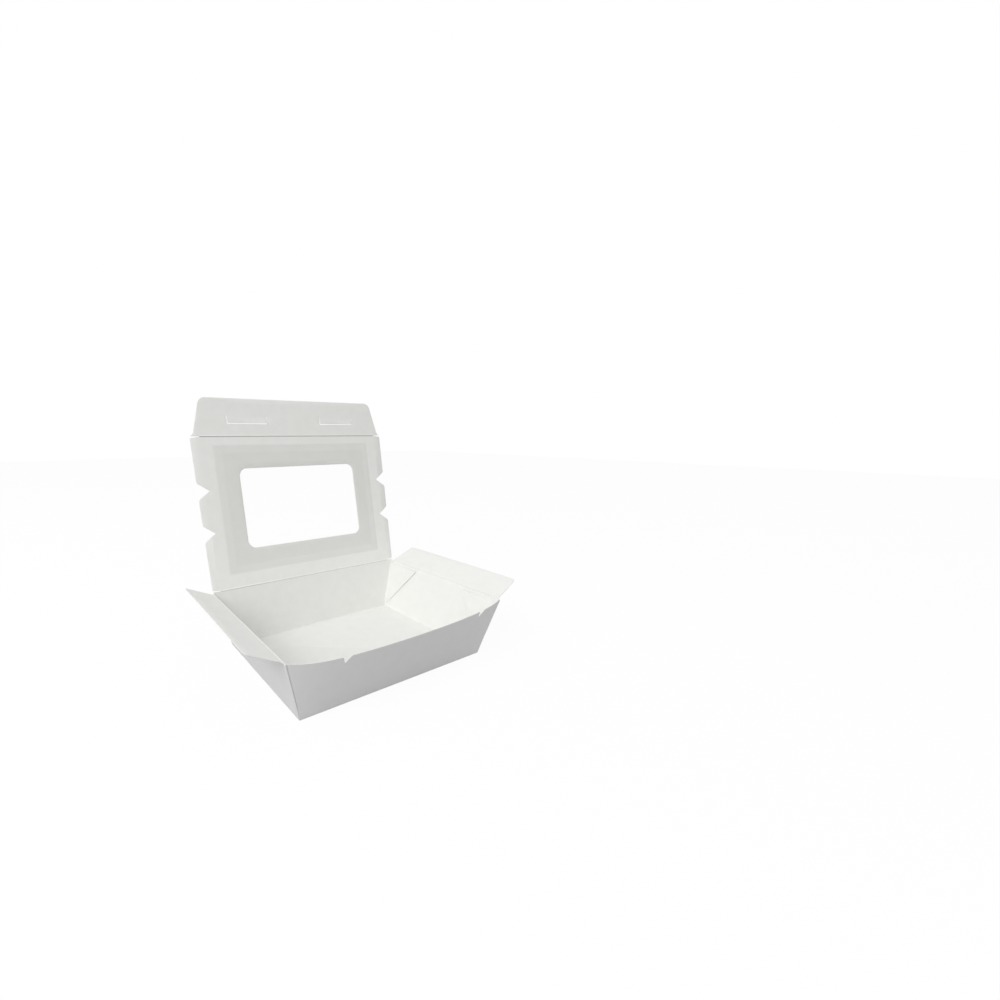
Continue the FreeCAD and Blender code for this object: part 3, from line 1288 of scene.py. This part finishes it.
    def tabs(self, side: Side, finishes: Finishes) -> list[bpy.types.Object]:
        """The three tabs on one edge of the lid, each with its crease.

        Args:
            side: Which edge.
            finishes: The finishes of the board.

        Returns:
            The tabs and their creases.
        """
        root, tip = self.fold + self.tab_reach, self.half_width
        ends = [(0.0, (self.tab_rear_gap, self.tab_rear_gap, self.tab_rear_gap + self.tab_rear_slant))]
        ends += [(place, tuple(self.vee_half(x) for x in (self.edge, root, tip)))
                 for place in self.vee_places]
        ends.append((self.length, (self.tab_front_gap, self.tab_front_gap,
                                   self.tab_front_gap + self.tab_front_slant)))
        pieces = []
        for word, (low, low_gaps), (high, high_gaps) in zip(("rear", "middle", "front"), ends, ends[1:]):
            stem = f"{side.word}_{word}"
            corners = [(root, low + low_gaps[1]), (tip + self.flare(low), low + low_gaps[2]),
                       (tip + self.flare(high), high - high_gaps[2]), (root, high - high_gaps[1])]
            low_corner = self.tab_corner if low > 0 else self.tab_end_corner
            high_corner = self.tab_corner if high < self.length else self.tab_end_corner
            outline = rounded(corners, [0.0, low_corner, high_corner, 0.0], steps=5)
            if side is Side.LEFT:
                outline = [(-x, y) for x, y in reversed(outline)]
            piece = Sheet(outline, side_joins=(root,)).piece(f"{stem}_tab_board", self.plane)
            finishes.dress(piece)
            body = f"{stem}_side_tab"
            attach(piece, body)
            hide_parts(body)
            crease = Crease(
                f"{stem}_tab_crease", "lid", body, corner=self.hinge + ACROSS * (side.value * self.fold),
                along=self.away, parent_way=ACROSS * -side.value, child_way=ACROSS * side.value,
                parent_span=(low + low_gaps[0], high - high_gaps[0]),
                child_span=(low + low_gaps[1], high - high_gaps[1]),
                bead=self.tab_bead, inside_up=side is Side.LEFT, runs=self.tab_runs,
            )
            pieces += [piece, crease.piece(finishes)]
        return pieces

    def lock_tongue(self, x: float, y: float) -> float:
        """How far the board inside a lock slit stands out of the tuck flap.

        Args:
            x: The place sideways.
            y: The distance from the crease.

        Returns:
            The distance, which is 0 outside the slits.
        """
        within = self.slit_inner + self.slit_width < abs(x) < self.slit_outer - self.slit_width
        share = (y - self.slit_offset - self.slit_width / 2) / self.slit_leg
        return self.slit_lift * (1 - share) ** self.slit_ease if within and 0 < share < 1 else 0.0

    def tuck_curl(self, x: float, y: float) -> float:
        """How far the tuck flap leaves its plane."""
        bend = self.tuck_bend * (y / self.tuck_length) ** 2 * (x / self.half_width) ** 2
        return bend + self.lock_tongue(x, y)

    def tuck(self, finishes: Finishes) -> list[bpy.types.Object]:
        """The tuck flap with its two lock slits, and its crease.

        Args:
            finishes: The finishes of the board.

        Returns:
            The flap and its crease.
        """
        cosine, sine = math.cos(math.radians(self.tuck_tilt)), math.sin(math.radians(self.tuck_tilt))
        away = Vector((0, self.away.y * cosine - self.away.z * sine, self.away.y * sine + self.away.z * cosine))
        low = self.crease_reach
        side = [(self.fold, low), (self.fold, self.cut_gap), (self.tuck_root, self.cut_gap), self.tuck_ear,
                self.tuck_hip, (self.tuck_tip, self.tuck_length)]
        radii = [0.0, 0.0, *self.tuck_radii]
        outline = rounded([(-x, y) for x, y in reversed(side)] + side, [*reversed(radii), *radii], steps=10)
        sheet = Sheet(outline, holes=[self.slit(1), self.slit(-1)], cell=self.tuck_cell,
                      curl=self.tuck_curl, root_joins=(low,))
        piece = sheet.piece("tuck_board", Plane(self.front, ACROSS, away))
        finishes.dress(piece)
        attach(piece, "tuck_flap")
        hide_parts("tuck_flap")
        crease = Crease(
            "lid_front_crease", "lid", "tuck_flap", corner=self.front,
            along=ACROSS, parent_way=-self.away, child_way=away,
            parent_span=(-self.edge, self.edge), child_span=(-self.fold, self.fold),
            bead=self.front_bead, parent_reach=self.crease_reach, child_reach=self.crease_reach,
        )
        return [piece, crease.piece(finishes)]

    def slit(self, side: int) -> list[Point]:
        """The outline of one U-shaped lock slit, its ends pointing away from the crease.

        Args:
            side: 1 on the right, -1 on the left.

        Returns:
            The outline's points.
        """
        inner, outer, width = self.slit_inner, self.slit_outer, self.slit_width
        low, high = self.slit_offset, self.slit_offset + self.slit_leg
        corners = [(inner, high), (inner, low), (outer, low), (outer, high), (outer - width, high),
                   (outer - width, low + width), (inner + width, low + width), (inner + width, high)]
        large, small = self.slit_corner, self.slit_corner - width
        outline = rounded(corners, [0.0, large, large, 0.0, 0.0, small, small, 0.0], steps=4)
        return [(side * x, y) for x, y in outline]

    def rear_crease(self, tray: Tray, finishes: Finishes) -> bpy.types.Object:
        """The crease between the back wall and the lid.

        Args:
            tray: The tray that the lid hangs on.
            finishes: The finishes of the board.

        Returns:
            The crease.
        """
        crease = Crease(
            "lid_rear_crease", "tray", "lid", corner=self.hinge, along=ACROSS,
            parent_way=-Vector((0, tray.slope_y, 1)).normalized(), child_way=self.away,
            parent_span=(-self.fold, self.fold), child_span=(-self.edge, self.edge),
            bead=self.rear_bead, parent_reach=tray.lid_reach, child_reach=self.crease_reach,
        )
        return crease.piece(finishes)


@dataclass
class EndFlap:
    """The flap on an end wall's rim, folded outwards."""

    side: Side
    hinge: Vector
    length: float
    depth: float = 26.2 * MILLIMETRE
    root_reach: float = 1.15 * MILLIMETRE
    root_inset: float = 1.5 * MILLIMETRE
    tip_inset: float = 3.6 * MILLIMETRE
    corner: float = 3.2 * MILLIMETRE
    lift: float = 25.0
    curl_height: float = 0.8 * MILLIMETRE
    curl_power: int = 3
    droop: float = 0.4 * MILLIMETRE
    bead: Bead = Bead(0.52 * MILLIMETRE, 0.45, 0.18)

    def curl(self, x: float, y: float) -> float:
        """How far the flap leaves its plane: it curls up, a little less at its free corners."""
        share = max(y - self.root_reach, 0.0) / self.depth
        return (self.droop * (2 * x / self.length) ** 2 - self.curl_height) * share ** self.curl_power

    def pieces(self, tray: Tray, finishes: Finishes) -> list[bpy.types.Object]:
        """Cut the flap and its crease.

        Args:
            tray: The tray that the flap hangs on.
            finishes: The finishes of the board.

        Returns:
            The flap and its crease.
        """
        sign = self.side.value
        lift = math.radians(self.lift)
        away = Vector((sign * math.cos(lift), 0, math.sin(lift)))
        along = Vector((0, sign, 0))
        root = self.length / 2
        neck, tip = root - self.root_inset, root - self.tip_inset
        corners = [(-neck, self.root_reach), (neck, self.root_reach), (tip, self.depth), (-tip, self.depth)]
        outline = rounded(corners, [0.0, 0.0, self.corner, self.corner], steps=8)
        sheet = Sheet(outline, curl=self.curl, root_joins=(self.root_reach,), inside_up=False)
        piece = sheet.piece(f"{self.side.word}_flap_board", Plane(self.hinge, along, away))
        finishes.dress(piece)
        body = f"{self.side.word}_end_flap"
        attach(piece, body)
        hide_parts(body)
        crease = Crease(
            f"{self.side.word}_flap_crease", "tray", body, corner=self.hinge, along=along,
            parent_way=-Vector((sign * tray.slope_x, 0, 1)).normalized(), child_way=away,
            parent_span=(-root, root), child_span=(-neck, neck), bead=self.bead,
            parent_reach=tray.flap_reach, child_reach=self.root_reach, inside_up=False,
        )
        return [piece, crease.piece(finishes)]


@dataclass(frozen=True)
class Lamp:
    """A soft panel lamp."""

    name: str
    place: Place
    size: float
    power: float
    aim: Place = (0.0, 0.0, 0.05)

    def hang(self) -> None:
        """Hang the lamp, facing the box."""
        data = bpy.data.lights.new(self.name, "AREA")
        data.shape = "DISK"
        data.size = self.size
        data.energy = self.power
        aimed(self.name, data, self.place, Vector(self.aim) - Vector(self.place))


def aimed(name: str, data: bpy.types.ID, place: Place, way: Vector) -> bpy.types.Object:
    """Put a lamp or a camera into the scene.

    Args:
        name: The new object's name.
        data: The lamp's or camera's data.
        place: Where it stands.
        way: Which way it looks.

    Returns:
        The object.
    """
    thing = bpy.data.objects.new(name, data)
    thing.location = place
    thing.rotation_mode = "QUATERNION"
    thing.rotation_quaternion = way.to_track_quat("-Z", "Y")
    bpy.context.scene.collection.objects.link(thing)
    return thing


@dataclass
class Studio:
    """Pale floor, soft lamps and the camera at the photograph's viewing angle."""

    picture: float = 1000.0
    focal_pixels: float = 425.887
    centre: Point = (310.234, 551.42)
    yaw: float = 59.161
    pitch: float = 15.648
    eye: Place = (-0.198391, -0.261917, 0.177434)
    nearest: float = 0.01
    sensor: float = 36.0
    floor_size: float = 6.0
    floor_drop: float = 0.05 * MILLIMETRE
    sky: float = 0.695
    lamps: tuple[Lamp, ...] = (
        Lamp("key_lamp", (-1.3, -0.25, 1.25), size=1.0, power=11.5),
        Lamp("left_lamp", (-1.5, -1.0, 0.9), size=1.0, power=3.8),
    )

    def floor(self) -> None:
        """Lay the floor."""
        half = self.floor_size / 2
        bm = bmesh.new()
        corners = ((-half, -half), (half, -half), (half, half), (-half, half))
        bm.faces.new([bm.verts.new((x, y, 0)) for x, y in corners])
        floor = linked(bm, "floor")
        floor.location.z = -self.floor_drop
        floor.data.materials.append(FloorFinish().material())

    def world(self) -> None:
        """Light the sky softly, and keep it white where it is seen."""
        world = bpy.data.worlds.new("studio_sky")
        bpy.context.scene.world = world
        shader = Shader(world)
        _, seen = shader.seen_rays()
        lit, white = (shader.value("ShaderNodeBackground", {}, {"Color": WHITE, "Strength": strength})
                      for strength in (self.sky, 1.0))
        shader.add("ShaderNodeOutputWorld", {}, {"Surface": shader.layered(seen, lit, white)})

    def camera(self) -> None:
        """Set up the camera as the photograph was taken."""
        data = bpy.data.cameras.new("camera")
        data.sensor_width = self.sensor
        data.sensor_fit = "HORIZONTAL"
        data.lens = self.focal_pixels * self.sensor / self.picture
        data.shift_x = (self.picture / 2 - self.centre[0]) / self.picture
        data.shift_y = (self.centre[1] - self.picture / 2) / self.picture
        data.clip_start = self.nearest
        yaw, pitch = math.radians(self.yaw), math.radians(self.pitch)
        forward = Vector((math.cos(pitch) * math.cos(yaw), math.cos(pitch) * math.sin(yaw), -math.sin(pitch)))
        bpy.context.scene.camera = aimed("camera", data, self.eye, forward)

    def build(self) -> None:
        """Set up the whole studio."""
        self.floor()
        self.world()
        for lamp in self.lamps:
            lamp.hang()
        self.camera()
        bpy.context.scene.view_settings.view_transform = "Standard"


def corners(low_high: tuple[Vector, Vector]) -> list[list[float]]:
    """A box's two corners as plain lists."""
    return [list(corner) for corner in low_high]


def main() -> None:
    """Load the frame and dress it, piece by piece."""
    logging.basicConfig(level=logging.INFO, format="%(name)s: %(message)s")
    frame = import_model()
    places = {joint["name"]: Vector(joint["pos_m"]) for joint in frame["joints"]}
    finishes = Finishes()
    lid = Lid(places["lid_hinge"], places["tuck_crease"])
    tray = Tray(lid.fold)
    pieces = [tray.piece(finishes), lid.panel(finishes), lid.film(), lid.rear_crease(tray, finishes)]
    pieces += lid.tuck(finishes)
    for side in Side:
        pieces += lid.tabs(side, finishes)
        flap = EndFlap(side, places[f"{side.word}_end_crease"], 2 * tray.end_root)
        pieces += flap.pieces(tray, finishes)
    for piece in pieces:
        LOG.info("%s: %d faces", piece.name, len(piece.data.polygons))
    Studio().build()


if __name__ == "__main__":
    main()
